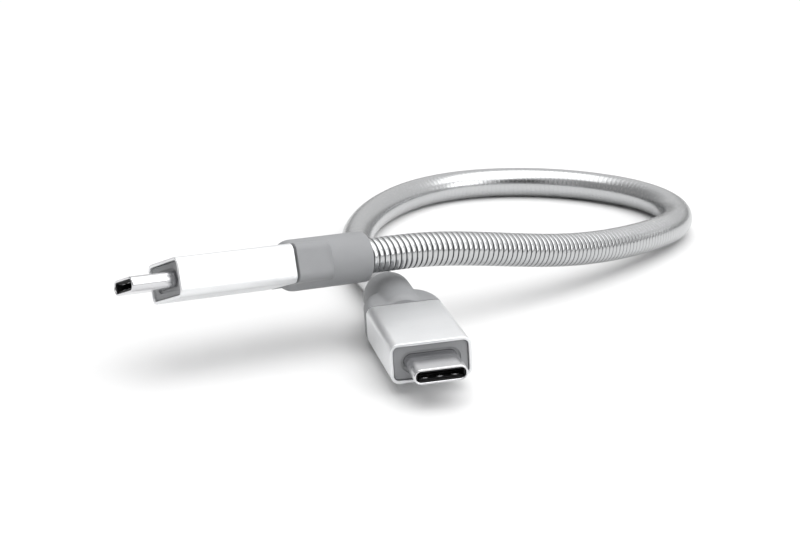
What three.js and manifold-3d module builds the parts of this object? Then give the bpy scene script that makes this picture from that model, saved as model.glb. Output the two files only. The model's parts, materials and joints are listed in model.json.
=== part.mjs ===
// A short charging cable: two slim plugs joined by a steel armoured hose that lies in one loop.
// Millimetres, +Z up. The origin is under the middle of the whole cable, on the surface it lies on.

import * as THREE from 'three';
import { mergeVertices } from 'three/addons/utils/BufferGeometryUtils.js';
import Module from 'manifold-3d';

const wasm = await Module();
wasm.setup();

// ---- Driving dimensions ----

// Plug body: an extruded aluminium sleeve over a plastic core.
const SLEEVE_WIDTH = 12.6;
const SLEEVE_HEIGHT = 6.3;
const SLEEVE_LENGTH = 19.6;
const SLEEVE_CORNER = 1.35;
const SLEEVE_WALL = 0.5;
const CORE_WALL = 0.45;
const BEZEL_RECESS = 0.4;
const BEZEL_THICKNESS = 1.0;

// Connector tip: an oval steel shell with a black insulator inside it.
const SHELL_WIDTH = 8.25;
const SHELL_HEIGHT = 2.4;
const SHELL_WALL = 0.2;
const SHELL_REACH = 6.8; // how far the shell stands out of the sleeve
const SHELL_TAIL = 4.4; // how far it runs back inside
const INSULATOR_SET_BACK = 0.4;
const INSULATOR_LENGTH = 9.5;
const INSULATOR_SIDE = 0.42;
const INSULATOR_LIP = 0.24;
const TONGUE_SLOT = 0.8;
const SPRING_POCKET = 1.9;
const SPRING_THICKNESS = 0.1;
const SPRING_EDGE = 0.2; // from each end of the pocket to the spring
const SPRING_BUMP = 0.2;
const BUMP_LENGTH = 1.1;
const BUMP_WIDTH = 1.24;
const BUMP_PITCH = 2.3;
const SLOT_CORNER = 0.1;

// Contacts and latch.
const CONTACT_PITCH = 0.5;
const CONTACT_WIDTH = 0.25;
const CONTACT_THICKNESS = 0.08;
const CONTACT_LENGTH = 8.6;
const CONTACT_BOW = 0.07;
const CONTACT_TAIL = 1.4; // behind the insulator
const BOW_LENGTH = 2.2; // from the nose back to where the bow starts
const BOW_CREST = [0.6, 1.0];
const NOSE_SLANT = 0.05;
const POSITIONS = 12;
const ROW_A = [1, 4, 5, 6, 7, 9, 12];
const ROW_B = [1, 4, 5, 9, 12];
const LATCH_THICKNESS = 0.15;
const LATCH_HEIGHT = 0.3;
const LATCH_ARM = 5.2;

// Electronics inside the core.
const CARD_THICKNESS = 0.4;
const CARD_TONGUE = 5.6; // width where the card enters the shell
const CARD_OVERLAP = 2.8; // how far the card enters the shell
const CARD_MARGIN = 0.9;
const CAN_WALL = 0.2;
const CHIP_SIZE = 2.4;
const CHIP_HEIGHT = 0.7;

// Strain relief: a short block that blends into a round collar around the hose.
const RELIEF_LENGTH = 15.0;
const RELIEF_WALL = 0.95;
const RELIEF_BLOCK = 7.2;
const RELIEF_SHOULDER = 2.8;
const RELIEF_EDGE = 0.35;
const COLLAR_LEAD = 1.8; // the collar rises out of the block over this length
const COLLAR_LIFT = 0.9;
const GROOVE = 0.4;
const GROOVE_DEPTH = 0.7;
const SPIGOT_LENGTH = 5.8;
const HOSE_GRIP = 9.5;
const FERRULE_LENGTH = 2.6;
const FERRULE_WALL = 0.35;

// Cable.
const HOSE_DIAMETER = 5.8;
const HOSE_WALL = 0.7;
const JACKET_DIAMETER = 3.0;
const JACKET_WALL = 0.25;
const BRAID_WALL = 0.12;
const WIRE_DIAMETER = 0.6;
const WIRE_CIRCLE = 0.62;
const WIRES = ['power', 'data_plus', 'data_minus', 'control', 'ground'];
const STATION_SPACING = 6;

// Clearances.
const TIGHT_GAP = 0.08;
const SEAT_GAP = 0.1;
const HOSE_GAP = 0.2;
const JACKET_GAP = 0.15;
const END_GAP = 0.3;

// Where the hose leaves each plug, and which way the plug points.
const PLACES = {
  a: { exit: [-12.17, -26.06, 13.1], heading: -150.7, tilt: 2.2, roll: 22.3 },
  b: { exit: [-8.24, -19.18, 4.17], heading: -78.6, tilt: 1.8, roll: 3.1 },
};

// The hose's way from plug a to plug b, between the straight stretches at the plugs.
const STRAIGHT_OUT = 4;
const ROUTE = [
  [-3.2, -20.9, 12.6], [5.4, -15.9, 11.3], [13.7, -10.5, 9.4], [21.7, -4.5, 7.5],
  [29.1, 2.3, 6.0], [36.0, 9.8, 4.9], [42.0, 17.9, 4.0], [46.5, 27.0, 3.3],
  [47.1, 37.2, 2.95], [42.8, 46.3, 2.95], [35.1, 52.9, 2.95], [25.6, 56.7, 2.95],
  [15.5, 57.4, 2.95], [5.7, 54.8, 2.95], [-2.5, 48.8, 2.95], [-8.3, 40.4, 2.95],
  [-12.0, 31.0, 2.95], [-13.9, 21.0, 2.97], [-14.1, 10.8, 3.1], [-12.9, 0.6, 3.4],
  [-10.4, -9.4, 3.85],
];

// ---- Sizes that follow from those above ----

const CORNER_SEGMENTS = 5;
const BEVEL_SEGMENTS = 3;
const BUMP_SEGMENTS = [10, 6];
const ROUND_SEGMENTS = 24;
const HOSE_SIDES = 12;
const CORD_SIDES = 8;
const SMALLEST_CORNER = 0.15;
const OVAL_FLAT = 0.02; // the straight bit left at each end of an oval
const PAST = 1; // how far a cutting shape runs past what it cuts
const MERGE_DISTANCE = 1e-5;
const LENGTH_DIVISIONS = 2000;

const hoseRadius = HOSE_DIAMETER / 2 / Math.cos(Math.PI / HOSE_SIDES);
const jacketRadius = JACKET_DIAMETER / 2;
const braidRadius = jacketRadius - JACKET_WALL - TIGHT_GAP;
const ferruleBore = jacketRadius + SEAT_GAP;
const ferruleRadius = ferruleBore + FERRULE_WALL;

// Along a plug, from the end where the hose leaves it.
const grooveBack = RELIEF_LENGTH - GROOVE;
const sleeveRear = RELIEF_LENGTH;
const sleeveFront = sleeveRear + SLEEVE_LENGTH;
const bezelFront = sleeveFront - BEZEL_RECESS;
const bezelBack = bezelFront - BEZEL_THICKNESS;
const shellFront = sleeveFront + SHELL_REACH;
const shellRear = sleeveFront - SHELL_TAIL;
const insulatorFront = shellFront - INSULATOR_SET_BACK;
const insulatorRear = insulatorFront - INSULATOR_LENGTH;
const pocketBack = insulatorFront - SPRING_POCKET;
const spigotFront = sleeveRear + SPIGOT_LENGTH;
const coreRear = spigotFront + END_GAP;
const cardRear = coreRear + CARD_MARGIN;
const cardFront = shellRear + CARD_OVERLAP;
const ferruleRear = HOSE_GRIP + END_GAP;
const ferruleFront = ferruleRear + FERRULE_LENGTH;

// How deep each piece of the cable reaches into a plug.
const hoseDepth = HOSE_GRIP - END_GAP;
const jacketDepth = spigotFront - 3 * END_GAP;
const braidDepth = spigotFront - 2 * END_GAP;
const wireDepth = cardRear - END_GAP;

// Sections inside the sleeve, as [width, height, corner].
const sleeveOuter = [SLEEVE_WIDTH, SLEEVE_HEIGHT, SLEEVE_CORNER];
const sleeveInner = smaller(sleeveOuter, SLEEVE_WALL);
const coreOuter = smaller(sleeveInner, SEAT_GAP);
const coreInner = smaller(coreOuter, CORE_WALL);
const canOuter = smaller(coreInner, SEAT_GAP);
const grooveSection = smaller(sleeveOuter, GROOVE_DEPTH);
const shellInner = [SHELL_WIDTH - 2 * SHELL_WALL, SHELL_HEIGHT - 2 * SHELL_WALL];
const insulatorSize = [shellInner[0] - 2 * TIGHT_GAP, shellInner[1] - 2 * TIGHT_GAP];
const slotWidth = insulatorSize[0] - 2 * INSULATOR_SIDE;
const pocketHeight = insulatorSize[1] - 2 * INSULATOR_LIP;
const contactHeight = TONGUE_SLOT / 2 - TIGHT_GAP;

function smaller([width, height, corner], by) {
  return [width - 2 * by, height - 2 * by, Math.max(corner - by, SMALLEST_CORNER)];
}

// ---- Shapes and solids ----

// Turns an outline drawn in (Y, Z) and extruded along its own z so that it runs along X.
const ALONG_X = new THREE.Matrix4().makeBasis(
  new THREE.Vector3(0, 1, 0),
  new THREE.Vector3(0, 0, 1),
  new THREE.Vector3(1, 0, 0),
);
// Turns an outline drawn in (X, Z) so that its thickness runs along Y.
const ALONG_Y = new THREE.Matrix4().makeBasis(
  new THREE.Vector3(1, 0, 0),
  new THREE.Vector3(0, 0, 1),
  new THREE.Vector3(0, -1, 0),
);

function roundedRectangle([width, height, corner]) {
  const x = width / 2 - corner;
  const y = height / 2 - corner;
  const outline = new THREE.Shape();
  outline.absarc(x, y, corner, 0, Math.PI / 2);
  outline.absarc(-x, y, corner, Math.PI / 2, Math.PI);
  outline.absarc(-x, -y, corner, Math.PI, 1.5 * Math.PI);
  outline.absarc(x, -y, corner, 1.5 * Math.PI, 2 * Math.PI);
  outline.closePath();
  return outline;
}

function oval([width, height]) {
  return roundedRectangle([width, height, (height - OVAL_FLAT) / 2]);
}

function polygon(radius, sides, centre = [0, 0]) {
  const corners = [];
  for (let i = 0; i < sides; i++) {
    const angle = ((i + 0.5) / sides) * 2 * Math.PI;
    corners.push(new THREE.Vector2(
      centre[0] + radius * Math.cos(angle),
      centre[1] + radius * Math.sin(angle),
    ));
  }
  return new THREE.Shape(corners);
}

function withHole(outline, hole) {
  outline.holes.push(hole);
  return outline;
}

// A straight bar of the given section, from one place along X to another.
function bar(section, from, to) {
  const geometry = new THREE.ExtrudeGeometry(section, {
    depth: to - from,
    bevelEnabled: false,
    curveSegments: CORNER_SEGMENTS,
  });
  return geometry.applyMatrix4(ALONG_X).translate(from, 0, 0);
}

// A plate cut to an outline in (X, Z), with its thickness centred on a place along Y.
function plate(outline, thickness, y = 0) {
  const geometry = new THREE.ExtrudeGeometry(outline, { depth: thickness, bevelEnabled: false });
  return geometry.applyMatrix4(ALONG_Y).translate(0, y + thickness / 2, 0);
}

function block([x0, x1], [y0, y1], [z0, z1]) {
  const geometry = new THREE.BoxGeometry(x1 - x0, y1 - y0, z1 - z0);
  return geometry.translate((x0 + x1) / 2, (y0 + y1) / 2, (z0 + z1) / 2);
}

// A round body about the X axis; the profile lists [place along X, radius] and closes itself.
function turned(profile) {
  const points = profile.map(([x, radius]) => new THREE.Vector2(radius, x));
  points.push(points[0].clone());
  return new THREE.LatheGeometry(points, ROUND_SEGMENTS).rotateZ(-Math.PI / 2);
}

function signedVolume(positions, triangles) {
  let volume = 0;
  const [a, b, c] = [new THREE.Vector3(), new THREE.Vector3(), new THREE.Vector3()];
  for (let i = 0; i < triangles.length; i += 3) {
    a.fromArray(positions, 3 * triangles[i]);
    b.fromArray(positions, 3 * triangles[i + 1]);
    c.fromArray(positions, 3 * triangles[i + 2]);
    volume += a.dot(b.cross(c)) / 6;
  }
  return volume;
}

// A geometry as a solid: shared corners merged, slivers of no area dropped, faces pointing out.
function solid(geometry) {
  const bare = geometry.clone();
  bare.deleteAttribute('normal');
  bare.deleteAttribute('uv');
  const merged = mergeVertices(bare, MERGE_DISTANCE);
  const vertProperties = new Float32Array(merged.attributes.position.array);
  const corners = [];
  for (let i = 0; i < merged.index.count; i += 3) {
    const [a, b, c] = [0, 1, 2].map((k) => merged.index.getX(i + k));
    if (a !== b && b !== c && c !== a) corners.push(a, b, c);
  }
  if (signedVolume(vertProperties, corners) < 0) corners.reverse();
  const triVerts = new Uint32Array(corners);
  return new wasm.Manifold(new wasm.Mesh({ numProp: 3, vertProperties, triVerts }));
}

function geometryOf(body) {
  const { vertProperties, triVerts } = body.getMesh();
  const geometry = new THREE.BufferGeometry();
  geometry.setAttribute('position', new THREE.BufferAttribute(vertProperties, 3));
  geometry.setIndex(new THREE.BufferAttribute(triVerts, 1));
  geometry.computeVertexNormals();
  return geometry;
}

function joined(first, ...others) {
  return others.reduce((body, other) => body.add(solid(other)), solid(first));
}

function cut(body, ...tools) {
  return tools.reduce((left, tool) => left.subtract(solid(tool)), body);
}

// ---- Materials ----

function finish(color, roughness, metalness) {
  return new THREE.MeshStandardMaterial({ color, roughness, metalness });
}

const MATERIALS = {
  aluminium: finish('#d3d4d5', 0.35, 1),
  shellSteel: finish('#c9cacb', 0.15, 1),
  hoseSteel: finish('#b4b5b6', 0.25, 1),
  greyPlastic: finish('#8a8c8f', 0.6, 0),
  blackPlastic: finish('#18191b', 0.5, 0),
  gold: finish('#d2a94a', 0.25, 1),
  springSteel: finish('#c4c5c6', 0.2, 1),
  card: finish('#2b5a3a', 0.5, 0),
  chip: finish('#1b1b1d', 0.45, 0),
  tin: finish('#aeb0b2', 0.35, 1),
  brass: finish('#b9964e', 0.3, 1),
  jacket: finish('#2d2e30', 0.6, 0),
  braid: finish('#a9aaab', 0.4, 1),
  power: finish('#b3261e', 0.5, 0),
  data_plus: finish('#2f7d3b', 0.5, 0),
  data_minus: finish('#e6e6e2', 0.5, 0),
  control: finish('#2a55a5', 0.5, 0),
  ground: finish('#202022', 0.5, 0),
};

function piece(name, geometry, material) {
  const mesh = new THREE.Mesh(geometry, material);
  mesh.name = name;
  return mesh;
}

// ---- Plug body ----

function sleeveGeometry() {
  const section = withHole(roundedRectangle(sleeveOuter), roundedRectangle(sleeveInner));
  return bar(section, sleeveRear, sleeveFront);
}

// The grey moulding inside the sleeve; its front wall is the bezel round the connector shell.
function coreGeometry() {
  const opening = [SHELL_WIDTH + 2 * SEAT_GAP, SHELL_HEIGHT + 2 * SEAT_GAP];
  const body = cut(
    solid(bar(roundedRectangle(coreOuter), coreRear, bezelFront)),
    bar(roundedRectangle(coreInner), coreRear - PAST, bezelBack),
    bar(oval(opening), bezelBack - PAST, sleeveFront),
  );
  return geometryOf(body);
}

// The strain relief's block seen from above: as wide as the sleeve at the groove, with round
// shoulders behind. It is drawn smaller by the corner radius, which the extrusion's bevel adds.
function blockOutline() {
  const side = SLEEVE_WIDTH / 2 - SLEEVE_CORNER;
  const middle = side - RELIEF_SHOULDER;
  const depth = RELIEF_BLOCK - SLEEVE_CORNER;
  const front = grooveBack + SLEEVE_CORNER;
  const outline = new THREE.Shape();
  outline.moveTo(front, -side);
  outline.lineTo(front, side);
  outline.lineTo(grooveBack, side);
  outline.absellipse(grooveBack, middle, depth, RELIEF_SHOULDER, Math.PI / 2, Math.PI);
  outline.absellipse(grooveBack, -middle, depth, RELIEF_SHOULDER, Math.PI, 1.5 * Math.PI);
  outline.closePath();
  return outline;
}

function reliefGeometry() {
  const endRadius = hoseRadius + HOSE_GAP + RELIEF_WALL;
  const lead = grooveBack - COLLAR_LEAD;
  const collar = [
    [0, 0], [0, endRadius - RELIEF_EDGE], [RELIEF_EDGE, endRadius], [lead, endRadius],
    [lead + COLLAR_LEAD / 2, endRadius - COLLAR_LIFT / 8],
    [grooveBack, endRadius - COLLAR_LIFT], [grooveBack, 0],
  ];
  const straight = SLEEVE_HEIGHT - 2 * SLEEVE_CORNER;
  const shoulders = new THREE.ExtrudeGeometry(blockOutline(), {
    depth: straight,
    bevelThickness: SLEEVE_CORNER,
    bevelSize: SLEEVE_CORNER,
    bevelSegments: BEVEL_SEGMENTS,
    curveSegments: CORNER_SEGMENTS,
  }).translate(0, 0, -straight / 2);
  const wide = [-SLEEVE_WIDTH, SLEEVE_WIDTH];
  const beyond = block([grooveBack, sleeveFront], wide, wide);
  const chamber = ferruleRadius + SEAT_GAP;
  const passage = jacketRadius + JACKET_GAP;
  const bore = [
    [-PAST, 0], [-PAST, hoseRadius + HOSE_GAP], [HOSE_GRIP, hoseRadius + HOSE_GAP],
    [HOSE_GRIP, chamber], [ferruleFront + END_GAP, chamber],
    [ferruleFront + END_GAP, passage], [spigotFront + PAST, passage], [spigotFront + PAST, 0],
  ];
  const body = cut(solid(shoulders), beyond)
    .add(solid(turned(collar)))
    .add(solid(bar(roundedRectangle(grooveSection), grooveBack - PAST, sleeveRear)))
    .add(solid(bar(roundedRectangle(coreOuter), sleeveRear - GROOVE / 2, spigotFront)));
  return geometryOf(cut(body, turned(bore)));
}

function ferruleGeometry() {
  return turned([
    [ferruleRear, ferruleRadius], [ferruleFront, ferruleRadius],
    [ferruleFront, ferruleBore], [ferruleRear, ferruleBore],
  ]);
}

// ---- Connector tip ----

function shellGeometry() {
  return bar(withHole(oval([SHELL_WIDTH, SHELL_HEIGHT]), oval(shellInner)), shellRear, shellFront);
}

function insulatorGeometry() {
  const pocketWidth = slotWidth + INSULATOR_LIP;
  const body = cut(
    solid(bar(oval(insulatorSize), insulatorRear, insulatorFront)),
    bar(roundedRectangle([slotWidth, TONGUE_SLOT, SLOT_CORNER]), insulatorRear - PAST, shellFront),
    bar(roundedRectangle([pocketWidth, pocketHeight, SLOT_CORNER]), pocketBack, shellFront),
  );
  return geometryOf(body);
}

// A grounding spring: a thin plate on the pocket's floor with three raised bumps.
function springGeometry() {
  const outside = pocketHeight / 2 - TIGHT_GAP;
  const inside = outside - SPRING_THICKNESS;
  const reach = [pocketBack + SPRING_EDGE, insulatorFront - SPRING_EDGE];
  const half = slotWidth / 2 - SPRING_EDGE;
  const bumps = [-BUMP_PITCH, 0, BUMP_PITCH].map((y) => new THREE.SphereGeometry(1, ...BUMP_SEGMENTS)
    .scale(BUMP_LENGTH / 2, BUMP_WIDTH / 2, SPRING_BUMP)
    .translate((reach[0] + reach[1]) / 2, y, inside));
  const body = joined(block(reach, [-half, half], [inside, outside]), ...bumps);
  const above = block([pocketBack, shellFront], [-half, half], [outside, outside + PAST]);
  return geometryOf(cut(body, above));
}

// One contact: a flat tail on the card and a bowed nose at the front.
function contactGeometry(y) {
  const tail = insulatorRear - CONTACT_TAIL;
  const nose = tail + CONTACT_LENGTH;
  const under = contactHeight - CONTACT_THICKNESS;
  const [crestFront, crestBack] = BOW_CREST;
  const outline = new THREE.Shape();
  outline.moveTo(tail, under);
  outline.lineTo(nose - BOW_LENGTH, under);
  outline.lineTo(nose - crestBack, under - CONTACT_BOW);
  outline.lineTo(nose - crestFront, under - CONTACT_BOW);
  outline.lineTo(nose, under + CONTACT_THICKNESS / 2);
  outline.lineTo(nose - NOSE_SLANT, contactHeight);
  outline.lineTo(nose - crestFront, contactHeight - CONTACT_BOW);
  outline.lineTo(nose - crestBack, contactHeight - CONTACT_BOW);
  outline.lineTo(nose - BOW_LENGTH, contactHeight);
  outline.lineTo(tail, contactHeight);
  outline.closePath();
  return plate(outline, CONTACT_WIDTH, y);
}

// The side latch: a flat U whose arms run forward along both sides of the slot.
function latchGeometry() {
  const half = slotWidth / 2 - TIGHT_GAP;
  const back = cardFront + END_GAP;
  const front = back + LATCH_ARM;
  const outline = new THREE.Shape();
  outline.moveTo(-half, back);
  outline.lineTo(half, back);
  outline.lineTo(half, front);
  outline.lineTo(half - LATCH_THICKNESS, front);
  outline.lineTo(half - LATCH_THICKNESS, back + LATCH_THICKNESS);
  outline.lineTo(-half + LATCH_THICKNESS, back + LATCH_THICKNESS);
  outline.lineTo(-half + LATCH_THICKNESS, front);
  outline.lineTo(-half, front);
  outline.closePath();
  const flat = new THREE.ExtrudeGeometry(outline, { depth: LATCH_HEIGHT, bevelEnabled: false });
  return flat.rotateZ(-Math.PI / 2).translate(0, 0, -LATCH_HEIGHT / 2);
}

// ---- Electronics ----

function cardGeometry() {
  const wide = canOuter[0] / 2 - CAN_WALL - SEAT_GAP;
  const narrow = CARD_TONGUE / 2;
  const neck = shellRear - END_GAP;
  const outline = new THREE.Shape();
  outline.moveTo(cardRear, -wide);
  outline.lineTo(neck, -wide);
  outline.lineTo(neck, -narrow);
  outline.lineTo(cardFront, -narrow);
  outline.lineTo(cardFront, narrow);
  outline.lineTo(neck, narrow);
  outline.lineTo(neck, wide);
  outline.lineTo(cardRear, wide);
  outline.closePath();
  const flat = new THREE.ExtrudeGeometry(outline, { depth: CARD_THICKNESS, bevelEnabled: false });
  return flat.translate(0, 0, -CARD_THICKNESS / 2);
}

// Half of the shield: a channel that covers one side of the card.
function canGeometry() {
  const half = canOuter[0] / 2;
  const top = canOuter[1] / 2;
  const foot = CARD_THICKNESS / 2 + SEAT_GAP;
  const outline = new THREE.Shape();
  outline.moveTo(-half, foot);
  outline.lineTo(-half + CAN_WALL, foot);
  outline.lineTo(-half + CAN_WALL, top - CAN_WALL);
  outline.lineTo(half - CAN_WALL, top - CAN_WALL);
  outline.lineTo(half - CAN_WALL, foot);
  outline.lineTo(half, foot);
  outline.lineTo(half, top);
  outline.lineTo(-half, top);
  outline.closePath();
  return bar(outline, cardRear, shellRear - END_GAP);
}

function chipGeometry() {
  const middle = (cardRear + shellRear) / 2;
  const half = CHIP_SIZE / 2;
  const foot = CARD_THICKNESS / 2 + TIGHT_GAP;
  return block([middle - half, middle + half], [-half, half], [foot, foot + CHIP_HEIGHT]);
}

// ---- One whole plug ----

// The same piece on the other side of the plug, turned half round its long axis.
function underneath(geometry) {
  return geometry.rotateX(Math.PI);
}

function placed(place) {
  const group = new THREE.Group();
  const radians = THREE.MathUtils.degToRad;
  group.position.set(...place.exit);
  group.rotation.set(radians(place.roll), radians(-place.tilt), radians(place.heading), 'ZYX');
  group.updateMatrixWorld(true);
  return group;
}

function plug(key) {
  const group = placed(PLACES[key]);
  const add = (name, geometry, material) => {
    group.add(piece(`plug_${key}_${name}`, geometry, material));
  };
  add('sleeve', sleeveGeometry(), MATERIALS.aluminium);
  add('core', coreGeometry(), MATERIALS.greyPlastic);
  add('strain_relief', reliefGeometry(), MATERIALS.greyPlastic);
  add('crimp_ferrule', ferruleGeometry(), MATERIALS.brass);
  add('connector_shell', shellGeometry(), MATERIALS.shellSteel);
  add('contact_insulator', insulatorGeometry(), MATERIALS.blackPlastic);
  add('ground_spring_top', springGeometry(), MATERIALS.springSteel);
  add('ground_spring_bottom', underneath(springGeometry()), MATERIALS.springSteel);
  add('latch', latchGeometry(), MATERIALS.springSteel);
  add('circuit_card', cardGeometry(), MATERIALS.card);
  add('shield_can_top', canGeometry(), MATERIALS.tin);
  add('shield_can_bottom', underneath(canGeometry()), MATERIALS.tin);
  const across = (position) => (position - (POSITIONS + 1) / 2) * CONTACT_PITCH;
  for (const position of ROW_A) {
    add(`contact_a${position}`, contactGeometry(across(position)), MATERIALS.gold);
  }
  for (const position of ROW_B) {
    add(`contact_b${position}`, underneath(contactGeometry(across(position))), MATERIALS.gold);
  }
  return group;
}

// ---- The cable ----

// A point on a plug's long axis, measured from where the hose leaves it.
function onAxis(key, distance) {
  return placed(PLACES[key]).localToWorld(new THREE.Vector3(distance, 0, 0));
}

const throughPlug = (key) => [wireDepth, hoseDepth, 0, -STRAIGHT_OUT].map((x) => onAxis(key, x));
const route = new THREE.CatmullRomCurve3([
  ...throughPlug('a'),
  ...ROUTE.map((point) => new THREE.Vector3(...point)),
  ...throughPlug('b').reverse(),
]);
route.arcLengthDivisions = LENGTH_DIVISIONS;
const routeLength = route.getLength();

// The route seen as a row of stations, so that tubes of different length share their bends.
class SteppedRoute extends THREE.Curve {
  constructor(depth) {
    super();
    const free = routeLength - 2 * wireDepth;
    const steps = Math.round(free / STATION_SPACING);
    this.places = [wireDepth - depth];
    for (let i = 0; i <= steps; i++) this.places.push(wireDepth + (free * i) / steps);
    this.places.push(routeLength - wireDepth + depth);
    this.steps = this.places.length - 1;
  }

  share(u) {
    const at = u * this.steps;
    const i = Math.min(Math.floor(at), this.steps - 1);
    const place = THREE.MathUtils.lerp(this.places[i], this.places[i + 1], at - i);
    return THREE.MathUtils.clamp(place / routeLength, 0, 1);
  }

  getPointAt(u, target) {
    return route.getPointAt(this.share(u), target);
  }

  getTangentAt(u, target) {
    return route.getTangentAt(this.share(u), target);
  }
}

function tube(section, depth) {
  const path = new SteppedRoute(depth);
  return new THREE.ExtrudeGeometry(section, { steps: path.steps, extrudePath: path });
}

function ring(radius, wall, sides) {
  return withHole(polygon(radius, sides), polygon(radius - wall, sides));
}

const cable = new THREE.Group();
cable.add(plug('a'), plug('b'));

const chipPlace = placed(PLACES.a);
chipPlace.add(piece('plug_a_marker_chip', chipGeometry(), MATERIALS.chip));
cable.add(chipPlace);

const hoseSection = ring(hoseRadius, HOSE_WALL, HOSE_SIDES);
const jacketSection = ring(jacketRadius, JACKET_WALL, CORD_SIDES);
const braidSection = ring(braidRadius, BRAID_WALL, CORD_SIDES);
cable.add(piece('armoured_hose', tube(hoseSection, hoseDepth), MATERIALS.hoseSteel));
cable.add(piece('cable_jacket', tube(jacketSection, jacketDepth), MATERIALS.jacket));
cable.add(piece('shield_braid', tube(braidSection, braidDepth), MATERIALS.braid));

WIRES.forEach((name, i) => {
  const angle = (i / WIRES.length) * 2 * Math.PI;
  const centre = [WIRE_CIRCLE * Math.cos(angle), WIRE_CIRCLE * Math.sin(angle)];
  const section = polygon(WIRE_DIAMETER / 2, CORD_SIDES, centre);
  cable.add(piece(`wire_${name}`, tube(section, wireDepth), MATERIALS[name]));
});

export default cable;
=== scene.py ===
# %% [markdown]
# # A short armoured charging cable
# Two flat plugs are joined by one loop of spiral steel hose. The plugs, their inside and the way of
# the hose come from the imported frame. This lesson gives them their real surfaces: rounded metal rims,
# a moulded strain relief, the turns of the hose, and a material for each finish.

import json
import math

import bmesh
import bpy
import numpy as np
from mathutils import Euler, Matrix, Vector


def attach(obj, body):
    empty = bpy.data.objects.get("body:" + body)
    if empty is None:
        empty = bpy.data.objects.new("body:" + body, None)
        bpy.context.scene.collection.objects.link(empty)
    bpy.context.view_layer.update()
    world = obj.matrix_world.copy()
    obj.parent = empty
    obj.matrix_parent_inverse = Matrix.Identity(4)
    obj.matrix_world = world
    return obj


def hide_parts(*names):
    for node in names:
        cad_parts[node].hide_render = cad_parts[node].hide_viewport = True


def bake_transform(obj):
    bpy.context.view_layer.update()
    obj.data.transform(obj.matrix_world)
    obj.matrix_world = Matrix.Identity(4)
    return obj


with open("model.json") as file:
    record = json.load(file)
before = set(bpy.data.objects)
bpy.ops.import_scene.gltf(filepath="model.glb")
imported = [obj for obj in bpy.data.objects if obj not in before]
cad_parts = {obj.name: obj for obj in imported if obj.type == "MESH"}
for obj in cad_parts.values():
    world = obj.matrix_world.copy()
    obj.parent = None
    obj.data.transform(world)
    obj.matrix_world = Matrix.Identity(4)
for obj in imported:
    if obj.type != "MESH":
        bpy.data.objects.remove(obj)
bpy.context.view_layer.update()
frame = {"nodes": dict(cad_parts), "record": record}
MM = 0.001
print("nodes in the frame:", len(frame["nodes"]))

# %% [markdown]
# The camera comes next. It stands low in front of the cable and looks slightly down, through a fairly
# long lens, so that the loop looks flat and the front plug points at the viewer.

# %% Camera
CAMERA_PLACE = Vector((-6.13, -317.02, 104.68)) * MM
CAMERA_DOWN = 17.79
CAMERA_LENS = 84.5

camera_data = bpy.data.cameras.new("camera")
camera_data.lens = CAMERA_LENS
camera_data.sensor_width = 36
camera_data.clip_start = 0.01
camera_data.clip_end = 20
camera = bpy.data.objects.new("camera", camera_data)
camera.location = CAMERA_PLACE
camera.rotation_euler = (math.radians(90 - CAMERA_DOWN), 0, 0)
bpy.context.scene.collection.objects.link(camera)
bpy.context.scene.camera = camera
print(f"lens {CAMERA_LENS} mm, {CAMERA_PLACE.length / MM:.0f} mm from the middle")

# %% [markdown]
# The design's sizes are repeated here in millimetres, because each new piece takes the place of a
# plainer one in the frame. Lengths along a plug are measured from the end where the hose leaves it.

# %% Sizes
# A section is a width, a height and, unless it is an oval, the radius of its long edges.
SLEEVE = (12.6, 6.3, 1.35)
SLEEVE_REAR = 15.0
SLEEVE_FRONT = 34.6
SLEEVE_WALL = 0.5
BEZEL_FRONT = SLEEVE_FRONT - 0.4
CORE = (11.4, 5.1, 0.75)
CORE_REAR = 21.1
CORE_WALL = 0.45
SHELL = (8.25, 2.4)
SHELL_REAR = 30.2
SHELL_FRONT = 41.4
SHELL_WALL = 0.2
OVAL_FLAT = 0.02  # the straight bit left at each end of an oval
RELIEF_RADIUS = 4.15
GROOVE_BACK = 14.6
GROOVE_DEPTH = 0.7
RELIEF_BLOCK = 7.2
SHOULDER = 2.8
HOSE_BORE = 3.2
HOSE_GRIP = 9.5
HOSE_RADIUS = 2.9

# Where each hose leaves its plug, in millimetres, and the plug's turns, in degrees.
PLACES = {
    "a": {"exit": (-12.17, -26.06, 13.1), "heading": -150.7, "tilt": 2.2, "roll": 22.3},
    "b": {"exit": (-8.24, -19.18, 4.17), "heading": -78.6, "tilt": 1.8, "roll": 3.1},
}


def plug_matrix(key):
    place = PLACES[key]
    turn = Euler([math.radians(place[k]) for k in ("roll", "tilt", "heading")])
    turn.y = -turn.y
    return Matrix.Translation(Vector(place["exit"]) * MM) @ turn.to_matrix().to_4x4()


PLUG = {key: plug_matrix(key) for key in PLACES}
exits_apart = (PLUG["a"].translation - PLUG["b"].translation).length
print(f"the hose leaves the two plugs {exits_apart / MM:.1f} mm apart")

# %% [markdown]
# ## The way of the hose
# The hose runs straight out of each strain relief and lies in one loose loop. Its points are the
# design's own. A natural cubic spline goes through them, because its bend changes evenly, and a
# polished tube shows every sudden change of bend.

# %% Route
# How deep each part of the cable reaches into a plug.
WIRE_DEPTH = 21.7
JACKET_DEPTH = 19.9
BRAID_DEPTH = 20.2
HOSE_DEPTH = 9.2

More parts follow.
